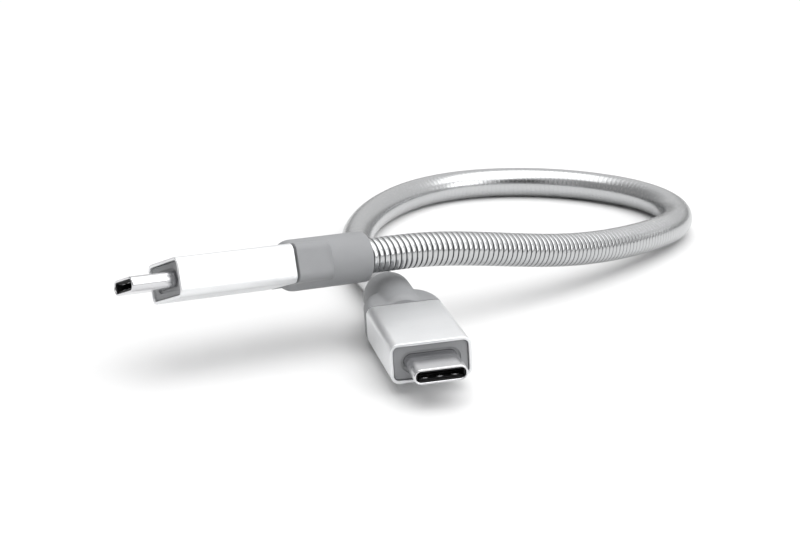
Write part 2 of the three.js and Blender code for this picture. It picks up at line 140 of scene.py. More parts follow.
STRAIGHT_OUT = 4.0
ROUTE = [
    (-3.2, -20.9, 12.6), (5.4, -15.9, 11.3), (13.7, -10.5, 9.4), (21.7, -4.5, 7.5),
    (29.1, 2.3, 6.0), (36.0, 9.8, 4.9), (42.0, 17.9, 4.0), (46.5, 27.0, 3.3),
    (47.1, 37.2, 2.95), (42.8, 46.3, 2.95), (35.1, 52.9, 2.95), (25.6, 56.7, 2.95),
    (15.5, 57.4, 2.95), (5.7, 54.8, 2.95), (-2.5, 48.8, 2.95), (-8.3, 40.4, 2.95),
    (-12.0, 31.0, 2.95), (-13.9, 21.0, 2.97), (-14.1, 10.8, 3.1), (-12.9, 0.6, 3.4),
    (-10.4, -9.4, 3.85),
]
SAMPLES_PER_MM = 10


def on_axis(key, distance):
    return PLUG[key] @ Vector((distance * MM, 0, 0))


print("points of the way:", len(ROUTE))

# %% [markdown]
# Between two points the spline is a cubic. One small set of equations gives the bend at every point, so
# that the slope and the bend both run on from one cubic to the next. The spline starts and ends inside
# the plugs, with no bend.


# %% Spline
def natural_spline(knots, spacing):
    """Evenly spaced points on the natural cubic spline through the knots."""
    knots = np.array(knots, float)
    along = np.concatenate([[0], np.cumsum(np.linalg.norm(np.diff(knots, axis=0), axis=1))])
    step = np.diff(along)[:, None]
    count = len(knots)
    matrix = np.zeros((count, count))
    matrix[0, 0] = matrix[-1, -1] = 1
    right = np.zeros_like(knots)
    slope = np.diff(knots, axis=0) / step
    for i in range(1, count - 1):
        matrix[i, i - 1:i + 2] = step[i - 1, 0], 2 * (step[i - 1, 0] + step[i, 0]), step[i, 0]
        right[i] = 6 * (slope[i] - slope[i - 1])
    bend = np.linalg.solve(matrix, right)
    at = np.linspace(0, along[-1], int(along[-1] / spacing) + 1)
    i = np.clip(np.searchsorted(along, at, side="right") - 1, 0, count - 2)
    h = step[i]
    left, ahead = (along[i + 1] - at)[:, None], (at - along[i])[:, None]
    return (
        bend[i] * left**3 / (6 * h) + bend[i + 1] * ahead**3 / (6 * h)
        + (knots[i] / h - bend[i] * h / 6) * left
        + (knots[i + 1] / h - bend[i + 1] * h / 6) * ahead
    )


through_a = [on_axis("a", x) for x in (WIRE_DEPTH, HOSE_DEPTH, 0, -STRAIGHT_OUT)]
through_b = [on_axis("b", x) for x in (-STRAIGHT_OUT, 0, HOSE_DEPTH, WIRE_DEPTH)]
knots = through_a + [Vector(p) * MM for p in ROUTE] + through_b
line = natural_spline(knots, MM / SAMPLES_PER_MM)
line_length = np.concatenate([[0], np.cumsum(np.linalg.norm(np.diff(line, axis=0), axis=1))])
tangent = np.gradient(line, axis=0)
tangent /= np.linalg.norm(tangent, axis=1)[:, None]
print(f"whole line: {line_length[-1] / MM:.1f} mm")

# %% [markdown]
# Everything wound round the line needs a direction across it. It is carried along from point to point,
# without twisting, so the turns of the hose don't twist either. Two functions then give a place on the
# line, and a place round it.


# %% Round the line
def carried_normals(tangents):
    """A direction across the line that turns with it and never twists about it."""
    normal = np.cross(tangents[0], np.cross(tangents[0], (0, 0, 1)))
    found = []
    for t in tangents:
        normal = normal - t * (normal @ t)
        normal = normal / np.linalg.norm(normal)
        found.append(normal)
    return np.array(found)


normal = carried_normals(tangent)
binormal = np.cross(tangent, normal)
TOTAL = line_length[-1]
FREE = TOTAL - 2 * WIRE_DEPTH * MM
print(f"hose between the strain reliefs: {FREE / MM:.1f} mm")


def at(values, place):
    """The line's values at places along it, in metres from plug a's end of the wires."""
    place = np.asarray(place)
    index = np.interp(place, line_length, np.arange(len(line)))
    low = np.clip(index.astype(int), 0, len(line) - 2)
    share = (index - low)[..., None]
    return values[low] * (1 - share) + values[low + 1] * share


def round_line(place, angle, radius):
    """Points at an angle and a distance from the line."""
    n, b = at(normal, place), at(binormal, place)
    reach = np.asarray(radius)[..., None]
    return at(line, place) + reach * (np.cos(angle)[..., None] * n + np.sin(angle)[..., None] * b)

# %% [markdown]
# ## Colours and nodes
# Colours are written as they look on a screen, and one function turns them to the linear values that
# a renderer works in. One more function adds a node, sets it and links it.


# %% Colour and node helpers
def colour(text):
    values = [int(text[i:i + 2], 16) / 255 for i in (1, 3, 5)]
    return [v / 12.92 if v <= 0.04045 else ((v + 0.055) / 1.055) ** 2.4 for v in values] + [1]


def add_node(tree, kind, inputs=None, **settings):
    node = tree.nodes.new(kind)
    for name, value in settings.items():
        setattr(node, name, value)
    for name, value in (inputs or {}).items():
        if isinstance(value, bpy.types.NodeSocket):
            tree.links.new(value, node.inputs[name])
        else:
            node.inputs[name].default_value = value
    return node


def new_material(name, base, metallic, roughness):
    material = bpy.data.materials.new(name)
    material.use_nodes = True
    shader = material.node_tree.nodes["Principled BSDF"]
    shader.inputs["Base Color"].default_value = colour(base)
    shader.inputs["Metallic"].default_value = metallic
    shader.inputs["Roughness"].default_value = roughness
    material.diffuse_color = colour(base)
    return material, material.node_tree, shader


print("a mid grey in linear values:", round(colour("#808080")[0], 3))

# %% [markdown]
# Most finishes share one recipe. A fine noise, as large as the real grain, makes the gloss and the
# surface uneven. A broad one lets the colour drift a little, as it does on anything made in a mould, a
# press or a bath, so that no face looks like flat paint.


# %% Mottled finish
PATCH = 30  # the tone drifts over patches this many grains wide
NOISE_LOW, NOISE_HIGH = 0.3, 0.7  # nearly all of a noise lies between these
TONE_FULL = 0.6  # from here up the noise gives the base colour


def mottled(name, base, darker, metallic, roughness, grain, bump, spread=0.08):
    """A finish with a fine grain: the gloss and the surface vary with it, and the colour in patches.
    grain and bump are in millimetres."""
    material, tree, shader = new_material(name, base, metallic, roughness)
    where = add_node(tree, "ShaderNodeTexCoord").outputs["Object"]
    fine = add_node(tree, "ShaderNodeTexNoise", {"Vector": where, "Scale": 1 / (grain * MM),
                                                 "Detail": 3.0}).outputs["Fac"]
    broad = add_node(tree, "ShaderNodeTexNoise", {"Vector": where, "Scale": 1 / (PATCH * grain * MM),
                                                  "Detail": 2.0}).outputs["Fac"]
    tone = add_node(tree, "ShaderNodeValToRGB", {"Fac": broad})
    tone.color_ramp.elements[0].position = NOISE_LOW
    tone.color_ramp.elements[0].color = colour(darker)
    tone.color_ramp.elements[1].position = TONE_FULL
    tone.color_ramp.elements[1].color = colour(base)
    gloss = add_node(tree, "ShaderNodeMapRange", {
        "Value": fine, "From Min": NOISE_LOW, "From Max": NOISE_HIGH,
        "To Min": roughness - spread, "To Max": roughness + spread})
    raised = add_node(tree, "ShaderNodeBump", {"Height": fine, "Distance": bump * MM})
    tree.links.new(tone.outputs["Color"], shader.inputs["Base Color"])
    tree.links.new(gloss.outputs["Result"], shader.inputs["Roughness"])
    tree.links.new(raised.outputs["Normal"], shader.inputs["Normal"])
    return material


print("patches of one tone:", PATCH, "grains wide")

# %% [markdown]
# ## Finishes
# - Bead-blasted, clear-anodised 6063 aluminium is a pale, even silver. Its tiny dents break up
#   reflections, so it looks satin, and no scratches show. The grit is drawn at 0.15 mm.
# - Nickel-plated deep-drawn steel is bright and mirror-like.
# - Injection-moulded TPE has a fine spark-eroded grain and a soft, broad sheen.
# - LCP, the black insulator, is nearly black and almost matt.
# - The pieces inside have the finish of their real metal or plastic, at the grain of its making.


# %% Materials
# Each has its colour and a darker one, how metallic and how rough it is, its grain and its relief.
FINISHES = {
    "anodised_sleeve": mottled("anodised aluminium", "#eaebec", "#e7e8e9", 1.0, 0.44, 0.15, 0.003),
    "polished_shell": mottled("nickel-plated steel", "#d8d8da", "#d3d3d5", 1.0, 0.24, 0.3, 0.0002, 0.03),
    "grey_moulding": mottled("moulded grey tpe", "#8f9092", "#8c8d8f", 0.0, 0.55, 0.12, 0.004),
    "black_insulator": mottled("black lcp", "#0b0b0c", "#080809", 0.0, 0.6, 0.2, 0.004),
    "spring_steel": mottled("stamped spring steel", "#b8b8ba", "#adadaf", 1.0, 0.28, 0.25, 0.001),
    "gold_contacts": mottled("gold-plated bronze", "#d9ae52", "#cda147", 1.0, 0.2, 0.2, 0.001),
    "circuit_card": mottled("green solder mask", "#1f5a34", "#1a4f2d", 0.0, 0.35, 0.4, 0.003),
    "chip_black": mottled("moulded epoxy", "#1a1a1c", "#151517", 0.0, 0.5, 0.15, 0.004),
    "tinned_can": mottled("tinned steel", "#b5b6b8", "#a9aaac", 1.0, 0.35, 0.5, 0.002),
    "brass_ferrule": mottled("turned brass", "#c09a4e", "#b48e45", 1.0, 0.25, 0.3, 0.001),
    "jacket_black": mottled("extruded black pvc", "#232325", "#1e1e20", 0.0, 0.5, 0.3, 0.003),
    "braid_tinned": mottled("tinned copper braid", "#aeaeae", "#8f8f8f", 1.0, 0.35, 0.12, 0.01),
    "wire_red": mottled("red wire skin", "#b1281f", "#a3231b", 0.0, 0.4, 0.3, 0.002),
    "wire_green": mottled("green wire skin", "#2c7a39", "#276d32", 0.0, 0.4, 0.3, 0.002),
    "wire_white": mottled("white wire skin", "#e4e4e0", "#dadad6", 0.0, 0.4, 0.3, 0.002),
    "wire_blue": mottled("blue wire skin", "#2a54a2", "#254b92", 0.0, 0.4, 0.3, 0.002),
    "wire_black": mottled("black wire skin", "#1e1e20", "#19191b", 0.0, 0.4, 0.3, 0.002),
}
print("finishes:", len(FINISHES))

# %% [markdown]
# The hose is wound from a stainless strip, 304 bright-rolled. The strip is drawn flat by its rolls, so
# fine lines run along it, round and round the hose. Where two turns meet it is dark, because little
# light gets in. The mesh carries an attribute for that, and a UV map that follows the strip.


# %% Hose steel
STRIP, STRIP_GAP = "#c2c3c4", "#5c5d5f"
STRIP_ROUGHNESS = (0.18, 0.29)
ROLLED_LINES = (1.2, 9.0, 1.0)  # the lines' noise has this many cells per mm along and across the strip


def hose_steel():
    material, tree, shader = new_material("bright-rolled stainless strip", STRIP, 1.0, 0.23)
    strip = add_node(tree, "ShaderNodeUVMap", uv_map="strip").outputs["UV"]
    stretched = add_node(tree, "ShaderNodeMapping", {"Vector": strip, "Scale": ROLLED_LINES})
    lines = add_node(tree, "ShaderNodeTexNoise", {"Vector": stretched.outputs["Vector"],
                                                  "Scale": 1.0, "Detail": 3.0}).outputs["Fac"]
    gloss = add_node(tree, "ShaderNodeMapRange", {
        "Value": lines, "From Min": NOISE_LOW, "From Max": NOISE_HIGH,
        "To Min": STRIP_ROUGHNESS[0], "To Max": STRIP_ROUGHNESS[1]})
    gap = add_node(tree, "ShaderNodeAttribute", attribute_name="gap").outputs["Fac"]
    tone = add_node(tree, "ShaderNodeMix", {
        "Factor": gap, "A": colour(STRIP), "B": colour(STRIP_GAP)}, data_type="RGBA")
    raised = add_node(tree, "ShaderNodeBump", {"Height": lines, "Distance": 0.003 * MM})
    tree.links.new(tone.outputs["Result"], shader.inputs["Base Color"])
    tree.links.new(gloss.outputs["Result"], shader.inputs["Roughness"])
    tree.links.new(raised.outputs["Normal"], shader.inputs["Normal"])
    return material


FINISHES["hose_steel"] = hose_steel()
print("nodes in the hose's finish:", len(FINISHES["hose_steel"].node_tree.nodes))

# %% [markdown]
# Each grounding spring is a stamped steel plate with three bumps. The plate is painted near black, matt
# and not metallic, as painted shade for the dark mouth of the plug, and the bumps stay bare steel. A
# Mapping node turns the place into the plug's own directions. The plates lie away from the plug's middle
# and their bumps point in towards it, so the distance from the middle tells painted shade from bump.


# %% Spring with painted shade
# The plate's near-black colour, and its roughness there, are painted shade; the bumps keep bare steel.
SHADE_HEIGHT, BUMP_EDGE = 0.48, 0.04
BARE_SPRING, PAINTED_SHADE_COLOUR = "#d6d6d8", "#0b0b0c"
BARE_ROUGHNESS, SHADE_ROUGHNESS = 0.25, 0.6


def spring_with_painted_shade(key):
    name = f"filmed spring steel {key}"
    material, tree, shader = new_material(name, BARE_SPRING, 1.0, BARE_ROUGHNESS)
    where = add_node(tree, "ShaderNodeTexCoord").outputs["Object"]
    in_plug = add_node(tree, "ShaderNodeMapping", {
        "Vector": where, "Location": PLUG[key].translation, "Rotation": PLUG[key].to_euler()},
        vector_type="TEXTURE")
    height = add_node(tree, "ShaderNodeSeparateXYZ", {"Vector": in_plug.outputs["Vector"]}).outputs["Z"]
    outwards = add_node(tree, "ShaderNodeMath", {0: height}, operation="ABSOLUTE").outputs["Value"]
    # Painted shade: full beyond this distance from the plug's middle, so only the bumps stay bare.
    painted_shade = add_node(tree, "ShaderNodeMapRange", {
        "Value": outwards, "From Min": (SHADE_HEIGHT - BUMP_EDGE) * MM,
        "From Max": SHADE_HEIGHT * MM}).outputs["Result"]
    tone = add_node(tree, "ShaderNodeMix", {
        "Factor": painted_shade, "A": colour(BARE_SPRING), "B": colour(PAINTED_SHADE_COLOUR)}, data_type="RGBA")
    bare = add_node(tree, "ShaderNodeMath", {0: 1.0, 1: painted_shade}, operation="SUBTRACT").outputs["Value"]
    rough = add_node(tree, "ShaderNodeMapRange", {
        "Value": painted_shade, "To Min": BARE_ROUGHNESS, "To Max": SHADE_ROUGHNESS})
    tree.links.new(tone.outputs["Result"], shader.inputs["Base Color"])
    tree.links.new(bare, shader.inputs["Metallic"])
    tree.links.new(rough.outputs["Result"], shader.inputs["Roughness"])
    return material


SHADED_SPRINGS = {key: spring_with_painted_shade(key) for key in PLACES}
print("springs with painted shade:", [material.name for material in SHADED_SPRINGS.values()])

# %% [markdown]
# Every node of the frame now gets the finish that its slot in the record names, and the ground springs
# get their painted shade. The pieces inside the plugs stay as they are in the frame.

# %% Finishes on the frame's nodes
for row in frame["record"]["subparts"]:
    cad_object = frame["nodes"][row["node"]]
    finish = FINISHES[row["material_slot"]]
    if "ground_spring" in row["node"]:
        finish = SHADED_SPRINGS["a" if row["node"].startswith("plug_a") else "b"]
    for place in range(len(cad_object.material_slots)):
        cad_object.material_slots[place].material = finish

# %% [markdown]
# ## Working on one piece
# Operators act on everything that is selected, and the frame's nodes are selected after loading. So
# each step starts by selecting one object, and faces and edges are picked by where they are. Nearly all
# the forms here are shaded smooth, except across edges sharper than a given angle.


# %% Piece helpers
def only(piece):
    bpy.ops.object.select_all(action="DESELECT")
    piece.select_set(True)
    bpy.context.view_layer.objects.active = piece


def edit(piece, select_mode):
    only(piece)
    bpy.ops.object.mode_set(mode="EDIT")
    bpy.ops.mesh.select_mode(type=select_mode)
    bpy.ops.mesh.select_all(action="DESELECT")
    return bmesh.from_edit_mesh(piece.data)


def done(piece):
    bmesh.update_edit_mesh(piece.data)
    bpy.ops.object.mode_set(mode="OBJECT")


def apply_modifier(piece, kind, **settings):
    only(piece)
    modifier = piece.modifiers.new(kind.lower(), kind)
    for name, value in settings.items():
        setattr(modifier, name, value)
    bpy.ops.object.modifier_apply(modifier=modifier.name)


def smooth(piece, degrees=35):
    only(piece)
    bpy.ops.object.shade_smooth_by_angle(angle=math.radians(degrees))


# %% [markdown]
# The sleeve and the core both start as a bar with rounded long edges. A cube is stretched to size, its
# four long edges are bevelled, and its ends come off where a tube is wanted. A bevel gives true arcs,
# whose radius is the design's own.


# %% Rounded bar
CORNER_SEGMENTS = 12
SAME_WAY = 0.9  # two directions count as one when their dot product is over this


def long_bar(name, section, x_from, x_to, open_ends):
    """A bar along X with rounded long edges: a cube, bevelled, with its ends taken off if wanted."""
    width, height, corner = section
    bpy.ops.object.select_all(action="DESELECT")
    bpy.ops.mesh.primitive_cube_add(size=1, location=((x_from + x_to) / 2 * MM, 0, 0))
    bar = bpy.context.object
    bar.name = bar.data.name = name
    bar.scale = ((x_to - x_from) * MM, width * MM, height * MM)
    bpy.ops.object.transform_apply(location=True, rotation=True, scale=True)
    mesh = edit(bar, "EDGE")
    for edge in mesh.edges:
        direction = edge.verts[1].co - edge.verts[0].co
        edge.select_set(abs(direction.normalized().x) > SAME_WAY)
    bpy.ops.mesh.bevel(offset=corner * MM, segments=CORNER_SEGMENTS, profile=0.5, affect="EDGES")
    mesh = bmesh.from_edit_mesh(bar.data)
    ends = [f for f in mesh.faces if abs(f.normal.x) > SAME_WAY]
    taken = [f for f in ends if f.calc_center_median().x < (x_from + x_to) / 2 * MM
             or open_ends == "both"]
    if open_ends:
        bmesh.ops.delete(mesh, geom=taken, context="FACES_ONLY")
    done(bar)
    return bar


print("corners in", CORNER_SEGMENTS, "steps")

# %% [markdown]
# Both plugs are alike, so each piece is made once, along X from the hose's end, and copied. A copy is
# moved to its plug's place, rides on the plug's body, and takes the place of the frame's plain piece.


# %% A piece for each plug
def finished(piece, key, slot, *nodes):
    """One copy of a piece for a plug: moved to its place, riding on the plug, with its finish."""
    copy = bpy.data.objects.new(f"{piece.name}_{key}", piece.data.copy())
    bpy.context.scene.collection.objects.link(copy)
    copy.data.transform(PLUG[key])
    copy.data.materials.clear()
    copy.data.materials.append(FINISHES[slot])
    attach(copy, f"plug_{key}")
    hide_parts(*[f"plug_{key}_{node}" for node in nodes])


def finish_both(piece, slot, *nodes):
    """The piece for both plugs. The one it was copied from is then removed."""
    for key in PLACES:
        finished(piece, key, slot, *nodes)
    print(piece.name, "triangles:", sum(len(p.vertices) - 2 for p in piece.data.polygons))
    bpy.data.objects.remove(piece)


print("plugs:", list(PLACES))

# %% [markdown]
# ## Sleeve
# The sleeve is a short length of extruded tube with its rims lightly rounded. A cube gets round long
# edges, loses both ends, and Solidify gives it a wall inwards. A Bevel rounds only the sharp rims.


# %% Sleeve
SLEEVE_RIM, CORE_RIM = 0.14, 0.1
RIM_ANGLE = 60  # only edges sharper than this are rims

sleeve = long_bar("sleeve", SLEEVE, SLEEVE_REAR, SLEEVE_FRONT, "both")
apply_modifier(sleeve, "SOLIDIFY", thickness=SLEEVE_WALL * MM, offset=-1, use_even_offset=True)
apply_modifier(sleeve, "BEVEL", width=SLEEVE_RIM * MM, segments=4, limit_method="ANGLE",
               angle_limit=math.radians(RIM_ANGLE))
smooth(sleeve)
finish_both(sleeve, "anodised_sleeve", "sleeve")

# %% [markdown]
# ## Bezel and core
# The grey moulding fills the sleeve's mouth and holds the tip. Its front wall has an oval opening, a
# close fit round the tip, at the bottom of a shallow dish. The dish is what draws the soft dark line
# round the foot of the tip.


# %% Core
PAST = 1  # how far a cutting shape runs past what it cuts
DISH_WIDTH, DISH_DEPTH = 0.5, 0.3
FIT_GAP, FIT_DEPTH = 0.04, 2


def cut_oval(piece, wider, x_from):
    """Cuts an oval, wider than the shell on every side, from x_from out through the front."""
    width, height = (size + 2 * wider for size in SHELL)
    section = (width, height, SHELL[1] / 2 + wider - OVAL_FLAT / 2)
    tool = long_bar("cutter", section, x_from, BEZEL_FRONT + PAST, "")
    apply_modifier(piece, "BOOLEAN", object=tool, operation="DIFFERENCE", solver="EXACT")
    bpy.data.objects.remove(tool)


core = long_bar("core", CORE, CORE_REAR, BEZEL_FRONT, "rear")
apply_modifier(core, "SOLIDIFY", thickness=CORE_WALL * MM, offset=-1, use_even_offset=True)
cut_oval(core, FIT_GAP, BEZEL_FRONT - FIT_DEPTH)
cut_oval(core, DISH_WIDTH, BEZEL_FRONT - DISH_DEPTH)
apply_modifier(core, "BEVEL", width=CORE_RIM * MM, segments=3, limit_method="ANGLE",
               angle_limit=math.radians(RIM_ANGLE))
smooth(core)
finish_both(core, "grey_moulding", "core")

# %% [markdown]
# ## Strain relief
# The strain relief is one moulding: a short block as wide as the sleeve, with round shoulders, that
# melts into a thicker round collar. Both shapes can be told by their distance from the plug's axis at
# each angle round it. So a few functions give those distances, with a soft change from the one shape to
# the other, where a boolean union would leave a hard crease.


# %% Distances round the axis
AROUND = 180
SMALLEST_CORNER = 0.15
TINY = 1e-9  # keeps a division by a sine or cosine safe
angles = np.arange(AROUND) * 2 * math.pi / AROUND


def rounded_rectangle(width, height, corner):
    """The distance from the middle to a rounded rectangle's edge, at each angle."""
    y, z = np.abs(np.cos(angles)), np.abs(np.sin(angles))
    straight = np.minimum(width / 2 / np.maximum(y, TINY), height / 2 / np.maximum(z, TINY))
    cy, cz = width / 2 - corner, height / 2 - corner
    middle = y * cy + z * cz
    arc = middle + np.sqrt(np.maximum(middle**2 - cy**2 - cz**2 + corner**2, 0))
    in_corner = (straight * y > cy) & (straight * z > cz)
    return np.where(in_corner, arc, straight)


def smaller(section, by):
    return section[0] - 2 * by, section[1] - 2 * by, max(section[2] - by, SMALLEST_CORNER)


def soft_larger(one, other, softness):
    """The larger of two distances, with a fillet where they are nearly equal."""
    near = np.clip(1 - np.abs(one - other) / softness, 0, 1)
    return np.maximum(one, other) + softness * near**3 / 6


print(f"sleeve: {rounded_rectangle(*SLEEVE).max():.2f} mm from the axis at its corners")

# %% [markdown]
# From the sleeve backwards the block draws in along a quarter ellipse, mostly sideways. The collar
# starts a little smaller in the block and rises to its full radius over a short lead.


# %% Shape of the moulding
COLLAR_LEAD = 1.8
COLLAR_LIFT = 0.9
SHOULDER_TOP = 0.2  # the height draws in by this share of what each side draws in
BLEND = 0.5


def circle(radius):
    return np.full(AROUND, radius)


def relief_outside(x):
    """The moulding's outline at a place along the plug."""
    lead = np.clip(1 - (GROOVE_BACK - x) / COLLAR_LEAD, 0, 1)
    collar = RELIEF_RADIUS - COLLAR_LIFT * (1 - math.sqrt(1 - lead * lead))
    t = (GROOVE_BACK - x) / RELIEF_BLOCK
    if t >= 1:
        return circle(collar)
    inset = SHOULDER * (1 - math.sqrt(1 - t * t))
    width, height = SLEEVE[0] - 2 * inset, SLEEVE[1] - SHOULDER_TOP * inset
    block = rounded_rectangle(width, height, SLEEVE[2])
    return soft_larger(block, circle(collar), BLEND)


print(f"collar: {relief_outside(1).max():.2f} mm from the axis all round")

# %% [markdown]
# The rings run along the outside of the moulding, from the mouth of the hose's bore to the spigot in the
# sleeve, and back along the bores. They stand closest where the shoulders curve fastest.

# %% Rings of the moulding
MOUTH_EDGE, MOUTH_STEPS = 0.35, 6
COLLAR_SPACING = 1.4
BLOCK_RINGS = 48
FRONT_EDGE = ((0.05, 0.02), (0, 0.08))  # how far back and how far in its two steps are
NECK_END = SLEEVE_REAR - 0.1
SPIGOT_FRONT = CORE_REAR - 0.3
JACKET_PASSAGE = 1.65
FERRULE_SEAT, FERRULE_SEAT_FRONT = 2.05, 12.7

rings = [(0, circle(HOSE_BORE))]
for turn in np.linspace(0, 1, MOUTH_STEPS) * math.pi / 2:
    rings.append((MOUTH_EDGE * (1 - math.cos(turn)),
                  circle(RELIEF_RADIUS - MOUTH_EDGE * (1 - math.sin(turn)))))
rings += [(x, relief_outside(x))
          for x in np.arange(COLLAR_SPACING, GROOVE_BACK - RELIEF_BLOCK, COLLAR_SPACING)]
rings += [(GROOVE_BACK - RELIEF_BLOCK * t, relief_outside(GROOVE_BACK - RELIEF_BLOCK * t))
          for t in np.sin(np.linspace(math.pi / 2, 0.01, BLOCK_RINGS))]
rings += [(GROOVE_BACK - back, rounded_rectangle(*smaller(SLEEVE, inwards)))
          for back, inwards in FRONT_EDGE]
rings += [(GROOVE_BACK, rounded_rectangle(*smaller(SLEEVE, GROOVE_DEPTH))),
          (NECK_END, rounded_rectangle(*smaller(SLEEVE, GROOVE_DEPTH))),
          (NECK_END, rounded_rectangle(*CORE)),
          (SPIGOT_FRONT, rounded_rectangle(*CORE)),
          (SPIGOT_FRONT, circle(JACKET_PASSAGE)),
          (FERRULE_SEAT_FRONT, circle(JACKET_PASSAGE)),
          (FERRULE_SEAT_FRONT, circle(FERRULE_SEAT)),
          (HOSE_GRIP, circle(FERRULE_SEAT)), (HOSE_GRIP, circle(HOSE_BORE))]
print("rings:", len(rings))

# %% [markdown]
# One circle of edges is extruded from ring to ring, and after each extrusion its points are moved to
# where the ring wants them. At the end the last ring is bridged to the first, so the solid is closed.
# The shell is made by the same function.


# %% Strain relief
def ring_points(x, radii):
    return np.stack([np.full(AROUND, x), radii * np.cos(angles), radii * np.sin(angles)], 1) * MM


def lofted(name, stations):
    """Rings extruded one from another, closed from the last to the first."""
    bpy.ops.object.select_all(action="DESELECT")
    bpy.ops.mesh.primitive_circle_add(vertices=AROUND, radius=MM)
    loft = bpy.context.object
    loft.name = loft.data.name = name
    for vertex, point in zip(loft.data.vertices, ring_points(*stations[0])):
        vertex.co = point
    mesh = edit(loft, "EDGE")
    for edge in mesh.edges:
        edge.select_set(True)
    for station in stations[1:]:
        bpy.ops.mesh.extrude_region_move()
        mesh = bmesh.from_edit_mesh(loft.data)
        target = ring_points(*station)
        for vertex in [v for v in mesh.verts if v.select]:
            at_angle = math.atan2(vertex.co.z, vertex.co.y)
            vertex.co = target[round(at_angle / (2 * math.pi) * AROUND) % AROUND]
        bmesh.update_edit_mesh(loft.data)
    mesh = bmesh.from_edit_mesh(loft.data)
    open_edges = [e for e in mesh.edges if e.is_boundary]
    bpy.ops.mesh.select_all(action="DESELECT")
    for edge in open_edges:
        edge.select_set(True)
    bpy.ops.mesh.bridge_edge_loops()
    bpy.ops.mesh.select_all(action="SELECT")
    bpy.ops.mesh.normals_make_consistent(inside=False)
    done(loft)
    return loft


relief = lofted("strain_relief", rings)
smooth(relief, 40)
finish_both(relief, "grey_moulding", "strain_relief")

# %% [markdown]
# ## Connector shell
# The tip's shell is drawn from thin steel into a flat oval tube, and its front edge is rolled inwards
# to find its way into a socket. That roll is the broad bright ring round the mouth. The same extruded
# rings make it: a few along the outside, a half circle over the front edge, and back along the inside.


# %% Shell
LIP = 0.36
LIP_LENGTH, LIP_RETURN = 0.34, 0.04
LIP_STEPS = 11
REAR_EDGE = 0.03
PLAIN_FROM, PLAIN_TO, PLAIN_RINGS = SHELL_REAR + 2, SHELL_FRONT - 1, 5
INNER_RING = SHELL_FRONT - 2
SHELL_OVAL = (*SHELL, SHELL[1] / 2 - OVAL_FLAT / 2)


def oval(inset):
    return rounded_rectangle(*smaller(SHELL_OVAL, inset))


shell_rings = [(SHELL_REAR, oval(REAR_EDGE)), (SHELL_REAR + REAR_EDGE, oval(0))]
shell_rings += [(x, oval(0)) for x in np.linspace(PLAIN_FROM, PLAIN_TO, PLAIN_RINGS)]
for turn in np.linspace(0, math.pi, LIP_STEPS):
    shell_rings.append((SHELL_FRONT - LIP / 2 * (1 - math.sin(turn)),
                        oval(LIP / 2 * (1 - math.cos(turn)))))
shell_rings += [(SHELL_FRONT - LIP_LENGTH, oval(LIP)),
                (SHELL_FRONT - LIP_LENGTH - LIP_RETURN, oval(SHELL_WALL)),
                (INNER_RING, oval(SHELL_WALL)), (SHELL_REAR, oval(SHELL_WALL))]
shell = lofted("connector_shell", shell_rings)
smooth(shell, 50)
finish_both(shell, "polished_shell", "connector_shell")

# %% [markdown]
# ## Hose
# A strip with rolled edges is wound round and round, and each turn hooks into the last. The turns
# stand open near plug a, most of all on the outside of the loop, and they shut tight round the far
# side. One function tells how open they are at each place along the hose and round it.


# %% How open the turns are
LOOP_MIDDLE = np.array((17.0, 22.0, 3.0)) * MM
OPEN_TO, SHUT_FROM = (WIRE_DEPTH + 34) * MM, (WIRE_DEPTH + 82) * MM
INNER_SIDE = 0.35  # how open the turns are on the loop's inner side, where the outer side is 1
SIDE_CHANGE = 0.8  # how fast that changes round the hose


def ease(value):
    value = np.clip(value, 0, 1)
    return value * value * (3 - 2 * value)


def openness(place, angle):
    """How far the turns stand apart: 1 outside the gentle bend, 0 round the far side."""
    centre = at(line, place)
    out = round_line(place, angle, np.full(np.shape(place), 1.0)) - centre
    away = centre - LOOP_MIDDLE
    away = away / np.linalg.norm(away, axis=-1)[..., None]
    side = INNER_SIDE + (1 - INNER_SIDE) * ease(0.5 + SIDE_CHANGE * (out * away).sum(-1))
    return side * (1 - ease((place - OPEN_TO) / (SHUT_FROM - OPEN_TO)))


print(f"turns shut slowly over {(SHUT_FROM - OPEN_TO) / MM:.0f} mm of hose")

# %% [markdown]
# The mesh follows the strip: its rows run along the winding, so that every groove is a clean line, and
# the end of one turn is the start of the next. Across one turn the strip has nine rows: the groove's two
# floor and two walls, and the strip's rolled edges with a low crown between them.


# %% Turns of the strip
PITCH = 1.0
SIDES = 48
GROOVE_WIDTH, SHUT_WIDTH = 0.13, 0.02
TURN_DEPTH, SHUT_DEPTH = 0.22, 0.012
CROWN = 0.05
SHUT_CROWN, SHUT_SHADE = 0.1, 0.12  # the share of crown and of darkness that is left in shut turns
WALL, EDGE_ROLL = 0.02, 0.07  # how far the groove's wall and the strip's rolled edge reach


